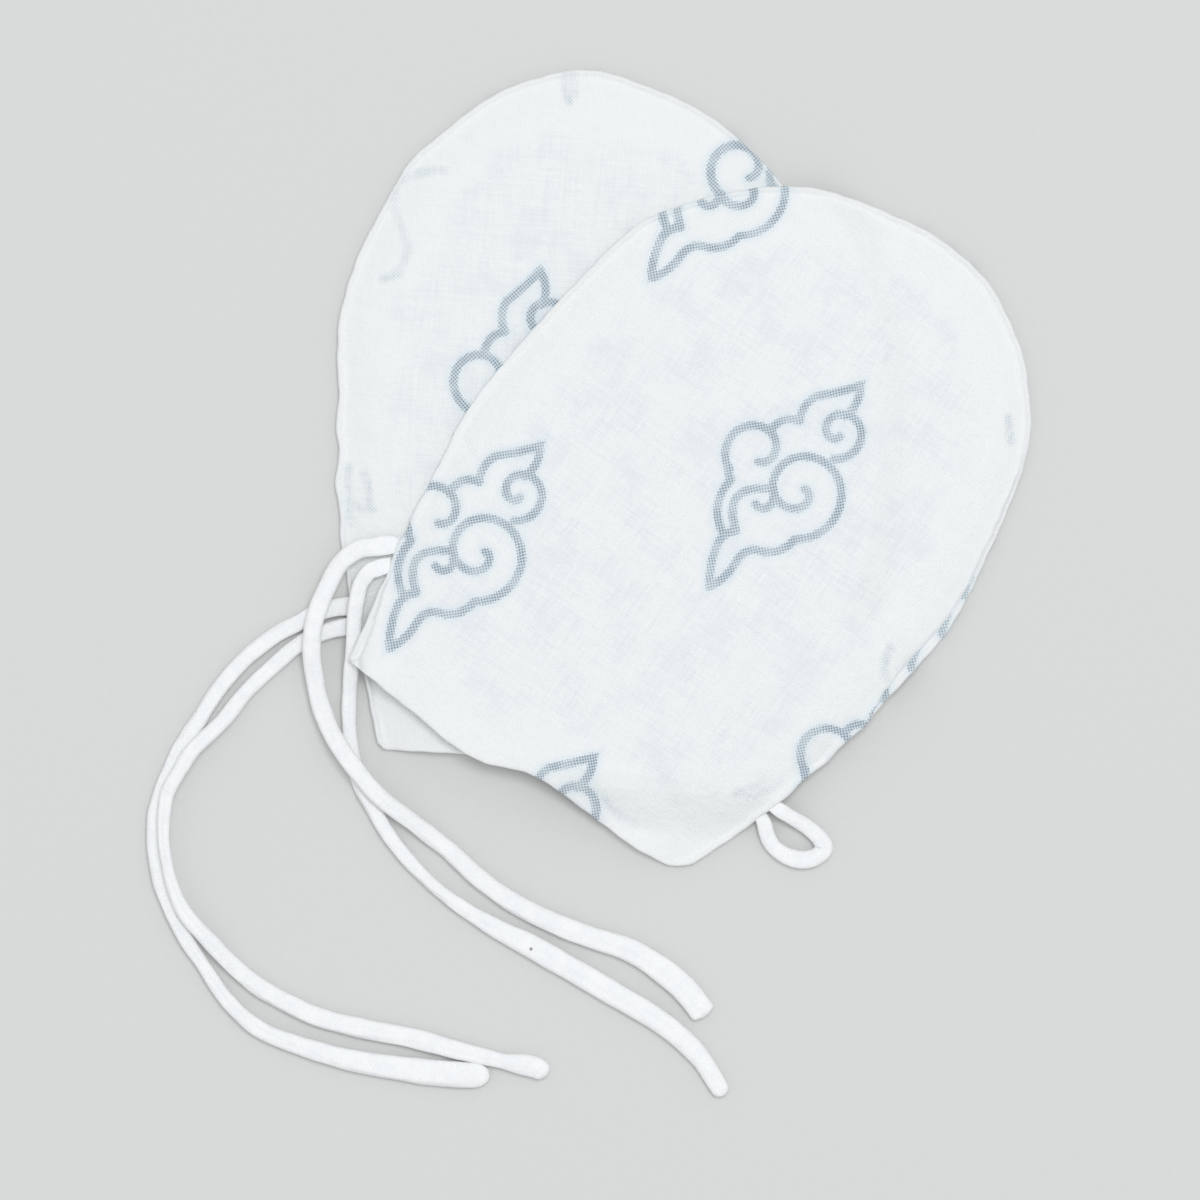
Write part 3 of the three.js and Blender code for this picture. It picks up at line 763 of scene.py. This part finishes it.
def build_panel(mitten, upper, step):
    """One panel as a thin shell in its solid's place, its flat width and length, and its area, in metres."""
    seam, cuff = eased_corners(mitten, *(wavy(mitten, line) for line in cut_lines(mitten, 0.5)))
    outline = np.concatenate([seam, cuff[1:-1]])
    points, triangles = plan_of(outline, step)
    seam_inset, seam_place = off_line(points, seam)
    hem_inset = off_line(points, cuff)[0]
    edge_inset = np.minimum(seam_inset, hem_inset)
    lay = surface_height(mitten, points)
    loft = LOFT * smooth(seam_inset, 0, LOFT_RISE)
    thick = TWO_LAYERS + (ONE_LAYER - TWO_LAYERS) * smooth(edge_inset, ALLOWANCE, ALLOWANCE + ALLOWANCE_FADE)
    seam_roll = (1 - (1 - np.clip(seam_inset / SEAM_ROLL, 0, 1)) ** 2) ** 0.6
    hem_roll = np.sqrt(1 - (1 - np.clip(hem_inset / HEM_ROLL, 0, 1)) ** 2)
    folded = (1 - hem_roll) * TWO_LAYERS * FOLD_SHARE
    line = print_distance(mitten, points, mitten["print_origin" if upper else "back_print_origin"])
    behind, painted_crevice_shade = np.full(len(points), PRINT_FAR), np.zeros(len(points))
    if upper:
        groove, beyond = seam_shows(mitten, points, seam_inset)
        form = relief(mitten, points, seam_inset, seam_place, edge_inset) - groove * SEAM_GROOVE_DEPTH
        meet = lay + (EDGE_HEIGHT + SEWN_GAP) / 2
        top = lay + EDGE_HEIGHT + loft + form
        low = np.maximum(top - thick, meet)
        top = np.maximum(meet + SEAM_LIP, meet + (top - meet) * seam_roll) - folded
        low = np.minimum(low + folded, top - LEAST_WALL)
        line = np.where(beyond, mark_distance(points, mitten["strip_marks"]), line)
        behind = mark_distance(points, mitten["behind_marks"])
        # painted shade: the seam groove and the narrow troughs are darkened in the material
        painted_crevice_shade = np.maximum(groove, sharp_creases(mitten, points))
    else:
        meet = lay + (EDGE_HEIGHT - SEWN_GAP) / 2
        low = lay + (meet - SEAM_LIP - lay) * (1 - seam_roll) + folded
        top = np.maximum(np.minimum(lay + thick, meet) - folded, low + LEAST_WALL)
    heights = np.concatenate([top, low])
    shell = np.concatenate([np.tile(in_layout(mitten, points), (2, 1)), heights[:, None]], axis=1) * MM
    name = f"{mitten['name']}_{'upper' if upper else 'lower'}_cloth"
    made = new_object(name, shell, shell_faces(triangles, len(points)))
    kept = {"print_line": line, "print_behind": behind, "edge_inset": edge_inset, "painted_crevice_shade": painted_crevice_shade}
    for label, values in kept.items():
        data = made.data.attributes.new(label, "FLOAT", "POINT").data
        data.foreach_set("value", np.tile(values, 2).astype(np.float32))
    add_cut_map(made.data, np.tile(points, (2, 1)))
    x, y = outline.T
    area = abs(np.dot(x, np.roll(y, -1)) - np.dot(y, np.roll(x, -1))) / 2 * MM * MM
    return made, tuple((np.ptp(outline, axis=0) * MM).tolist()), float(area)


def build_tube(name, line, shape, phase, end_round=1.1):
    """A turned cloth tube along a line of points in millimetres, flattened, a little twisted, with a seam along it."""
    lengths = np.concatenate([[0], np.cumsum(np.linalg.norm(np.diff(line, axis=0), axis=1))])
    share = lengths / lengths[-1]
    at = [row["at"] for row in shape]
    width = np.interp(share, at, [row["width"] for row in shape])
    thick = np.interp(share, at, [row["thick"] for row in shape])
    kernel = np.hanning(13) / np.hanning(13).sum()
    width, thick = (np.convolve(np.pad(v, 6, mode="edge"), kernel, mode="valid") for v in (width, thick))
    to_end = lengths[-1] - lengths
    close = np.sqrt(1 - (1 - np.clip((to_end + 0.02) / end_round, 0, 1)) ** 2)
    way = np.gradient(line, axis=0)
    way /= np.linalg.norm(way, axis=1)[:, None]
    side = np.cross(way, (0, 0, 1))
    side /= np.linalg.norm(side, axis=1)[:, None]
    up = np.cross(side, way)
    turn = np.arange(TUBE_SIDES) / TUBE_SIDES * 2 * math.pi
    wide, high = np.cos(turn), np.sin(turn)
    squared = (wide**4 + high**4) ** -0.17
    seam_turn = math.radians(62) + 0.5 * np.sin(lengths / 17 + phase) + 0.3 * np.sin(lengths / 7.1 + 2 * phase)
    apart = np.angle(np.exp(1j * (turn[None, :] - seam_turn[:, None])))
    groove = -0.14 * np.exp(-((apart / 0.16) ** 2)) + 0.06 * np.exp(-(((np.abs(apart) - 0.38) / 0.2) ** 2))
    wrinkle = np.sin(lengths[:, None] / 1.15 + 1.4 * np.sin(turn)[None, :] + phase)
    wrinkle = wrinkle * np.sin(lengths / 4.7 + phase)[:, None]
    ripple = 0.045 * wrinkle + 0.05 * np.sin(lengths / 2.9 + 2 * phase)[:, None] * np.cos(turn - 0.7)[None, :]
    scale = squared[None, :] * close[:, None]
    uneven = (groove + ripple) * smooth(thick, 0.6, 1.8)[:, None]
    out_wide = (width[:, None] / 2 + uneven) * scale * wide
    out_high = (thick[:, None] / 2 + uneven) * scale * high
    rings = line[:, None, :] + out_wide[:, :, None] * side[:, None, :] + out_high[:, :, None] * up[:, None, :]
    rings[:, :, 2] = np.maximum(rings[:, :, 2], 0.05)
    count = len(line)
    points = np.concatenate([rings.reshape(-1, 3), line[:1], line[-1:]])
    faces = []
    for i in range(count - 1):
        for j in range(TUBE_SIDES):
            k = (j + 1) % TUBE_SIDES
            faces.append((i * TUBE_SIDES + j, i * TUBE_SIDES + k, (i + 1) * TUBE_SIDES + k, (i + 1) * TUBE_SIDES + j))
    first, last = len(points) - 2, len(points) - 1
    end = (count - 1) * TUBE_SIDES
    for j in range(TUBE_SIDES):
        k = (j + 1) % TUBE_SIDES
        faces += [(first, k, j), (last, end + j, end + k)]
    made = new_object(name, points * MM, faces)
    mesh = bmesh.new()
    mesh.from_mesh(made.data)
    bmesh.ops.recalc_face_normals(mesh, faces=mesh.faces)
    mesh.to_mesh(made.data)
    mesh.free()
    around = np.abs(apart) * (width[:, None] + thick[:, None]) / 4
    bias = np.stack([around + lengths[:, None], around - lengths[:, None]], axis=2).reshape(-1, 2) / math.sqrt(2)
    ends = np.array([bias[0], bias[-1]])
    add_cut_map(made.data, np.concatenate([bias, ends]))
    return made


# Materials


# One node's settings, by what it does
TIMES = {"operation": "MULTIPLY"}
PLUS = {"operation": "ADD"}
MINUS = {"operation": "SUBTRACT"}
SINE = {"operation": "SINE"}
SMOOTH = {"interpolation_type": "SMOOTHSTEP"}  # turns a value between two limits into one between two others
COLOURS = {"data_type": "RGBA", "clamp_factor": True}  # goes from the colour at input 6 to the one at input 7


def add_node(tree, kind, inputs=(), **settings):
    """Adds a node with its settings and gives its outputs; an input is a value or another node's output."""
    made = tree.nodes.new(f"ShaderNode{kind}")
    for name, value in settings.items():
        setattr(made, name, value)
    for key, value in inputs.items() if isinstance(inputs, dict) else enumerate(inputs):
        if isinstance(value, bpy.types.NodeSocket):
            tree.links.new(value, made.inputs[key])
        else:
            made.inputs[key].default_value = value
    return made.outputs


def new_material(name):
    """An empty material, and what adds a node to it."""
    made = bpy.data.materials.new(name)
    made.use_nodes = True
    made.node_tree.nodes.clear()
    return made, partial(add_node, made.node_tree)


def weave(add, cloth):
    """Plain weave on the cut's millimetres: how far a place is up a thread, and which of the two threads is on top."""
    cut = add("UVMap", uv_map="cut_mm")[0]
    wander = add("TexNoise", {"Vector": cut, "Scale": 1 / WANDER_LENGTH, "Detail": 2.0})[1]
    centred = add("VectorMath", (wander, (0.5, 0.5, 0.5)), **MINUS)[0]
    shift = add("VectorMath", {0: centred, "Scale": THREAD_WANDER}, operation="SCALE")[0]
    split = add("SeparateXYZ", add("VectorMath", (cut, shift), **PLUS)[:1])
    per_mm = math.pi * MM / cloth.thread_pitch
    warp, weft = (add("Math", add("Math", (split[i], per_mm), **TIMES)[:1], **SINE)[0] for i in (0, 1))
    over = add("Math", (warp, weft), **TIMES)[0]
    return cut, over, add("Math", (over,), operation="ABSOLUTE")[0]


def streaks(add, cut):
    """Uneven yarns: light and dark lengths of thread along both ways of the weave."""
    found = []
    for across, along in ((YARN_WIDTH, YARN_LENGTH), (YARN_LENGTH, YARN_WIDTH)):
        stretched = add("Mapping", {"Vector": cut, "Scale": (1 / across, 1 / along, 1)})[0]
        found.append(add("TexNoise", {"Vector": stretched, "Scale": 1.0, "Detail": 3.0, "Roughness": 0.6})[0])
    return add("Math", (add("Math", found, **PLUS)[0], 0.5), **TIMES)[0]


def finish_cloth(add, colour, up_thread, streak, nap):
    """Cotton: rough, with a faint sheen of fibres, and the weave and its nap as fine bumps."""
    height = add("Math", (up_thread, add("Math", (streak, 0.6), **TIMES)[0]), **PLUS)[0]
    bump = add("Bump", {"Strength": 1.0, "Distance": THREAD_RISE * MM, "Height": height})[0]
    soft = add("Bump", {"Strength": 1.0, "Distance": NAP_RISE * MM, "Height": nap, "Normal": bump})[0]
    cotton = {"Roughness": 0.92, "Specular IOR Level": 0.25, "Sheen Weight": 0.12, "Sheen Roughness": 0.6}
    add("OutputMaterial", add("BsdfPrincipled", {"Base Color": colour, "Normal": soft, **cotton})[:1])


def printed_muslin():
    """Bleached cotton muslin, plain weave, screen printed with a pale indigo line.

    It is matt and slightly open, and its threads break the line up into dots.
    """
    scene = bpy.context.scene
    cloth, dye = scene.mitten_cloth, scene.mitten_print
    made, add = new_material("printed_cotton_muslin")
    cut, over, up_thread = weave(add, cloth)
    streak = streaks(add, cut)
    blotch = add("TexNoise", {"Vector": cut, "Scale": 1 / BLOTCH_SIZE, "Detail": 4.0, "Roughness": 0.62})[0]
    names = ("edge_inset", "print_behind", "print_line", "painted_crevice_shade")
    inset, behind, line, painted_crevice_shade = (add("Attribute", attribute_name=name)["Fac"] for name in names)

    # A single layer is greyer than the turned-in edge, in blotches
    off = add("Math", (add("Math", (blotch, 0.5), **MINUS)[0], ALLOWANCE_WANDER), **TIMES)[0]
    uneven = add("Math", (inset, off), **PLUS)[0]
    single = add("MapRange", (uneven, ALLOWANCE - 1.5, ALLOWANCE + 2.5, 0.0, 1.0), **SMOOTH)[0]
    both = add("Math", (blotch, add("Math", (streak, 0.7), **TIMES)[0]), **PLUS)[0]
    mottle = add("MapRange", (both, 0.78, 1.02, 0.0, 1.0), **SMOOTH)[0]
    shade = add("Math", (single, add("Math", (mottle, 0.34), **TIMES)[0]), **TIMES)[0]
    colour = add("Mix", {0: shade, 6: (*cloth.cloth, 1), 7: (*cloth.inside, 1)}, **COLOURS)[2]

    # Openings between the threads
    gap = add("MapRange", (up_thread, 0.0, 0.5, 1.0, 0.0), **SMOOTH)[0]
    gap = add("Math", (gap, add("MapRange", (streak, 0.35, 0.6, 0.04, 0.24), **SMOOTH)[0]), **TIMES)[0]
    gap = add("Math", (gap, add("MapRange", (single, 0.0, 1.0, 0.45, 1.0), **SMOOTH)[0]), **TIMES)[0]
    colour = add("Mix", {0: gap, 6: colour, 7: (*cloth.between, 1)}, **COLOURS)[2]

    # Print behind the cloth, as faint dots
    half = dye.line_width / MM / 2
    fade = add("MapRange", (blotch, 0.36, 0.62, 0.35, 0.85), **SMOOTH)[0]
    faint = add("Math", (add("MapRange", (behind, 0.1, half + 0.7, 1.0, 0.0), **SMOOTH)[0], fade), **TIMES)[0]
    faint = add("Math", (faint, add("MapRange", (streak, 0.4, 0.6, 0.4, 1.0), **SMOOTH)[0]), **TIMES)[0]
    faint = add("Math", (faint, add("MapRange", (over, -0.3, 0.6, 0.35, 1.0), **SMOOTH)[0]), **TIMES)[0]
    colour = add("Mix", {0: faint, 6: colour, 7: (*dye.behind, 1)}, **COLOURS)[2]

    # The printed line, first the dye that crept past it
    crept = add("MapRange", (line, half, half + dye.halo_width / MM, 0.6, 0.0), **SMOOTH)[0]
    colour = add("Mix", {0: crept, 6: colour, 7: (*dye.halo, 1)}, **COLOURS)[2]
    ragged = add("TexNoise", {"Vector": cut, "Scale": 1 / RAGGED_SIZE, "Detail": 2.0})[0]
    ragged = add("Math", (add("Math", (ragged, 0.5), **MINUS)[0], 0.5), **TIMES)[0]
    ragged = add("Math", (ragged, add("Math", (over, 0.13), **TIMES)[0]), **MINUS)[0]
    from_line = add("Math", (line, ragged), **PLUS)[0]
    inked = add("MapRange", (from_line, half - 0.26, half + 0.26, 1.0, 0.0), **SMOOTH)[0]
    strong = add("TexNoise", {"Vector": cut, "Scale": 1 / DYE_SIZE, "Detail": 2.0})[0]
    strong = add("MapRange", (strong, 0.34, 0.62, 0.62, 1.0), **SMOOTH)[0]
    inked = add("Math", (inked, strong), **TIMES)[0]
    colour = add("Mix", {0: inked, 6: colour, 7: (*dye.ink, 1)}, **COLOURS)[2]
    dots = add("Math", (inked, add("MapRange", (over, -0.05, 0.5, 0.0, 0.95), **SMOOTH)[0]), **TIMES)[0]
    colour = add("Mix", {0: dots, 6: colour, 7: (*dye.ink_dot, 1)}, **COLOURS)[2]

    # Painted shade at the bottoms of grooves and sharp folds, where little light comes
    deep = add("Math", (painted_crevice_shade, 0.42), **TIMES)[0]
    colour = add("Mix", {0: deep, 6: colour, 7: (*linear(CREVICE_SHADE_COLOUR), 1)}, **COLOURS)[2]
    nap = add("TexNoise", {"Vector": cut, "Scale": 1 / NAP_SIZE, "Detail": 3.0, "Roughness": 0.6})[0]
    finish_cloth(add, colour, up_thread, streak, nap)
    return made


def rouleau_muslin():
    """The same cotton muslin cut on the bias, sewn into a tube and turned.

    It has no print, its weave lies at 45 degrees to the tube, and being doubled it looks whiter than a panel.
    """
    cloth = bpy.context.scene.mitten_cloth
    made, add = new_material("bias_muslin_rouleau")
    cut, _, up_thread = weave(add, cloth)
    streak = streaks(add, cut)
    blotch = add("TexNoise", {"Vector": cut, "Scale": 1 / TUBE_BLOTCH_SIZE, "Detail": 3.0, "Roughness": 0.6})[0]
    both = add("Math", (blotch, add("Math", (streak, 0.5), **TIMES)[0]), **PLUS)[0]
    shade = add("MapRange", (both, 0.62, 0.92, 0.0, 0.16), **SMOOTH)[0]
    colour = add("Mix", {0: shade, 6: (*cloth.doubled, 1), 7: (*cloth.inside, 1)}, **COLOURS)[2]
    gap = add("MapRange", (up_thread, 0.0, 0.5, 1.0, 0.0), **SMOOTH)[0]
    gap = add("Math", (gap, 0.07), **TIMES)[0]
    colour = add("Mix", {0: gap, 6: colour, 7: (*cloth.between, 1)}, **COLOURS)[2]
    far = add("VectorMath", (add("TexCoord")["Object"], LINT_PLACE), operation="DISTANCE")["Value"]
    lint = add("MapRange", (far, *(r * MM for r in LINT_RADII), 0.75, 0.0), **SMOOTH)[0]
    colour = add("Mix", {0: lint, 6: colour, 7: (*linear(LINT_COLOUR), 1)}, **COLOURS)[2]
    nap = add("TexNoise", {"Vector": cut, "Scale": 1 / TUBE_NAP_SIZE, "Detail": 3.0, "Roughness": 0.6})[0]
    finish_cloth(add, colour, up_thread, streak, nap)
    return made


def matt_paper():
    """Uncoated paper for the floor: pale, without gloss, and just uneven enough not to look painted."""
    made, add = new_material("matt_paper")
    grain = add("TexNoise", {"Vector": add("TexCoord")["Object"], "Scale": 1 / PAPER_GRAIN, "Detail": 2.0})[0]
    grain = add("MapRange", (grain, 0.3, 0.7, 0.0, 0.04), **SMOOTH)[0]
    floor = (*bpy.context.scene.mitten_stage.floor, 1)
    colour = add("Mix", {0: grain, 6: floor, 7: (*linear(PAPER_FLECK), 1)}, **COLOURS)[2]
    paper = {"Base Color": colour, "Roughness": 0.95, "Specular IOR Level": 0.1}
    add("OutputMaterial", add("BsdfPrincipled", paper)[:1])
    return made


def material_of(name, make):
    return bpy.data.materials.get(name) or make()


def place(made, node, material, slot):
    """Puts a finished piece on the frame in the place of its solid."""
    made.data.materials.append(material)
    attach(made, "root")
    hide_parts(node)


class MITTENS_OT_panels(bpy.types.Operator):
    """Makes the four muslin panels and lays them on each other"""

    bl_idname = "mittens.panels"
    bl_label = "Panels"

    def execute(self, context):
        bpy.ops.object.select_all(action="DESELECT")
        cloth = context.scene.mitten_cloth
        material = material_of("printed_cotton_muslin", printed_muslin)
        for mitten in (UNDER_MITTEN, OVER_MITTEN):
            for upper in (False, True):
                made, flat, area = build_panel(mitten, upper, (cloth.mesh_step if upper else cloth.hidden_step) / MM)
                place(made, f"{mitten['name']}_{'upper' if upper else 'lower'}_panel", material, "muslin")
        return {"FINISHED"}


class MITTENS_OT_loops(bpy.types.Operator):
    """Makes the two cloth loops in the side seams"""

    bl_idname = "mittens.loops"
    bl_label = "Loops"

    def execute(self, context):
        bpy.ops.object.select_all(action="DESELECT")
        material = material_of("bias_muslin_rouleau", rouleau_muslin)
        for mitten in (UNDER_MITTEN, OVER_MITTEN):
            rows = [LOOP_FOOT_1, *LOOP_ROUTE, LOOP_FOOT_2]
            local = np.array([(mitten["loop_across"] + row["out"], row["along"]) for row in rows])
            height = surface_height(mitten, local) + LOOP_HEIGHT
            height[[0, -1]] = surface_height(mitten, local[[0, -1]]) + LOOP_FOOT_HEIGHT
            line = np.concatenate([in_layout(mitten, local), height[:, None]], axis=1)
            name = f"{mitten['name']}_loop"
            made = build_tube(f"{name}_cloth", route_curve(line, TIE_STEP), LOOP_SHAPE, 0.8)
            place(made, name, material, "tie_cloth")
        return {"FINISHED"}


class MITTENS_OT_ties(bpy.types.Operator):
    """Makes the four cloth ties and lays them along their routes"""

    bl_idname = "mittens.ties"
    bl_label = "Ties"

    def execute(self, context):
        bpy.ops.object.select_all(action="DESELECT")
        material = material_of("bias_muslin_rouleau", rouleau_muslin)
        for phase, row in enumerate(TIES):
            line = route_curve(np.array([row["root"], *row["route"]]) / MM, TIE_STEP)
            made = build_tube(f"{row['node']}_cloth", line, row["shape"], 1.7 * phase, row["end_round"])
            place(made, row["node"], material, "tie_cloth")
        return {"FINISHED"}


class MITTENS_OT_stage(bpy.types.Operator):
    """Makes the camera, the floor and the light"""

    bl_idname = "mittens.stage"
    bl_label = "Stage"

    def execute(self, context):
        bpy.ops.object.select_all(action="DESELECT")
        scene = context.scene
        settings = scene.mitten_stage
        x, y = (v * MM for v in VIEW_MIDDLE)
        bpy.ops.object.camera_add(location=(x, y, CAMERA_HEIGHT), rotation=(0, 0, 0))
        scene.camera = context.object
        scene.camera.data.sensor_width = SENSOR
        scene.camera.data.lens = SENSOR * (CAMERA_HEIGHT - CLOTH_LEVEL) / (VIEW_WIDTH * MM)
        bpy.ops.mesh.primitive_plane_add(size=FLOOR_SIZE, location=(0, 0, -FLOOR_DROP))
        floor = context.object
        floor.name = "floor"
        floor.data.materials.append(matt_paper())
        bpy.ops.object.light_add(type="AREA", location=KEY_PLACE)
        key = context.object
        key.name = "key"
        key.data.shape = "DISK"
        key.data.size = KEY_SIZE
        key.data.energy = settings.key_power
        key.data.color = linear(KEY_COLOUR)
        key.rotation_mode = "QUATERNION"
        key.rotation_quaternion = (Vector((x, y, 0)) - key.location).to_track_quat("-Z", "Y")
        scene.world = bpy.data.worlds.new("studio")
        scene.world.use_nodes = True
        sky = scene.world.node_tree.nodes["Background"]
        sky.inputs["Color"].default_value = (*linear(SKY_COLOUR), 1)
        sky.inputs["Strength"].default_value = settings.sky
        scene.view_settings.view_transform = "Standard"
        return {"FINISHED"}


class MITTENS_PT_sidebar(bpy.types.Panel):
    """Lists the mittens' settings and the steps that build them"""

    bl_idname = "MITTENS_PT_sidebar"
    bl_label = "Baby mittens"
    bl_space_type = "VIEW_3D"
    bl_region_type = "UI"
    bl_category = "Mittens"

    def draw(self, context):
        for group in (context.scene.mitten_cloth, context.scene.mitten_print, context.scene.mitten_stage):
            for name in group.__annotations__:
                self.layout.prop(group, name)
        for step in STEPS:
            self.layout.operator(step.bl_idname)


STEPS = (MITTENS_OT_stage, MITTENS_OT_ties, MITTENS_OT_loops, MITTENS_OT_panels)
CLASSES = (ClothSettings, PrintSettings, StageSettings, *STEPS, MITTENS_PT_sidebar)


def register():
    for one in CLASSES:
        bpy.utils.register_class(one)
    bpy.types.Scene.mitten_cloth = PointerProperty(type=ClothSettings)
    bpy.types.Scene.mitten_print = PointerProperty(type=PrintSettings)
    bpy.types.Scene.mitten_stage = PointerProperty(type=StageSettings)


def unregister():
    for name in ("mitten_stage", "mitten_print", "mitten_cloth"):
        delattr(bpy.types.Scene, name)
    for one in reversed(CLASSES):
        bpy.utils.unregister_class(one)


def main():
    register()
    bpy.ops.mittens.stage()
    bpy.ops.mittens.ties()
    bpy.ops.mittens.loops()
    bpy.ops.mittens.panels()


if __name__ == "__main__":
    main()
